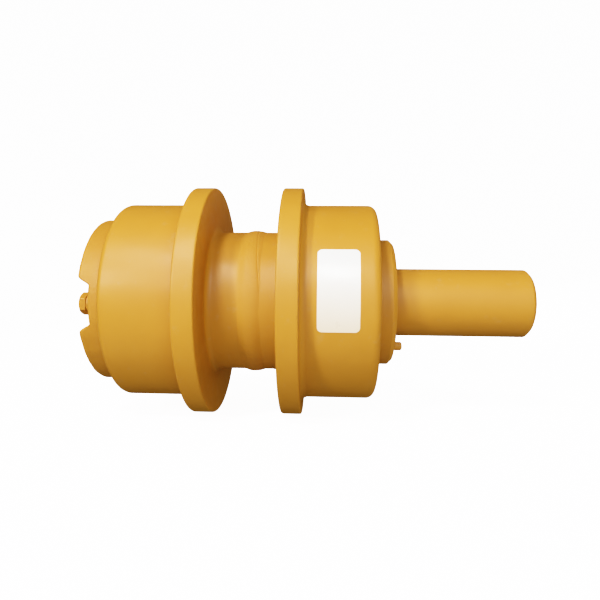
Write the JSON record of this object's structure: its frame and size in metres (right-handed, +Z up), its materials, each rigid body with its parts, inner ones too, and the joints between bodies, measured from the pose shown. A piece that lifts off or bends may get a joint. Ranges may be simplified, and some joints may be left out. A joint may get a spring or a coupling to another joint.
{
  "type": "track roller",
  "caption": "Cantilever track roller: twin treads with inner flanges and a welded neck, a closed bolted cover on one end and a plain clamping stub on the other.",
  "frame": {"origin": "on the axle's centre line, midway between the two treads", "axes": "+Y along the axle towards the clamped stub, +Z up, +X towards the side with the label"},
  "size_m": [0.235, 0.44, 0.235],
  "materials": {
    "roller_paint": "semi-gloss yellow enamel over machined steel",
    "cover_paint": "semi-gloss yellow enamel over a rough casting",
    "axle_paint": "semi-gloss yellow enamel over turned steel",
    "fastener_paint": "yellow enamel, thick in the corners",
    "bearing_steel": "ground and honed",
    "pressed_steel": "pressed sheet, lightly oiled",
    "machined_steel": "turned",
    "seal_iron": "lapped sealing face, cast back",
    "seal_rubber": "moulded, matt",
    "copper": "annealed copper",
    "label_vinyl": "plain white vinyl, blank"
  },
  "bodies": {
    "axle": {"axle_shaft": "axle_paint", "seal_collar": "axle_paint", "collar_o_ring": "seal_rubber", "locating_dowel": "axle_paint", "stationary_seal_ring": "seal_iron", "stationary_toric_ring": "seal_rubber", "inboard_bearing_cone": "bearing_steel", "outboard_bearing_cone": "bearing_steel", "lock_washer": "machined_steel", "lock_nut": "machined_steel"},
    "roller": {"outboard_shell": "roller_paint", "inboard_shell": "roller_paint", "weld_bead": "roller_paint", "inboard_bearing_cup": "bearing_steel", "outboard_bearing_cup": "bearing_steel", "seal_housing": "machined_steel", "rotating_seal_ring": "seal_iron", "rotating_toric_ring": "seal_rubber", "end_cover": "cover_paint", "cover_o_ring": "seal_rubber", "cover_bolts": "fastener_paint", "cover_spring_washers": "fastener_paint", "cover_plain_washers": "fastener_paint", "oil_fill_plug": "fastener_paint", "plug_seal_washer": "copper", "blank_label": "label_vinyl"},
    "inboard_roller_set": {"inboard_bearing_cage": "pressed_steel", "inboard_bearing_rollers": "bearing_steel"},
    "outboard_roller_set": {"outboard_bearing_cage": "pressed_steel", "outboard_bearing_rollers": "bearing_steel"}
  },
  "joints": [
    {"name": "roller_spin", "type": "hinge", "parent": "axle", "child": "roller", "pos_m": [0, 0, 0], "axis": [0, 1, 0], "continuous": true},
    {"name": "inboard_cage_spin", "type": "hinge", "parent": "axle", "child": "inboard_roller_set", "pos_m": [0, 0.076, 0], "axis": [0, 1, 0], "continuous": true},
    {"name": "outboard_cage_spin", "type": "hinge", "parent": "axle", "child": "outboard_roller_set", "pos_m": [0, -0.076, 0], "axis": [0, 1, 0], "continuous": true}
  ],
  "couplings": [
    {"joint": "inboard_cage_spin", "follows": "roller_spin", "ratio": 0.5534},
    {"joint": "outboard_cage_spin", "follows": "roller_spin", "ratio": 0.5594}
  ]
}
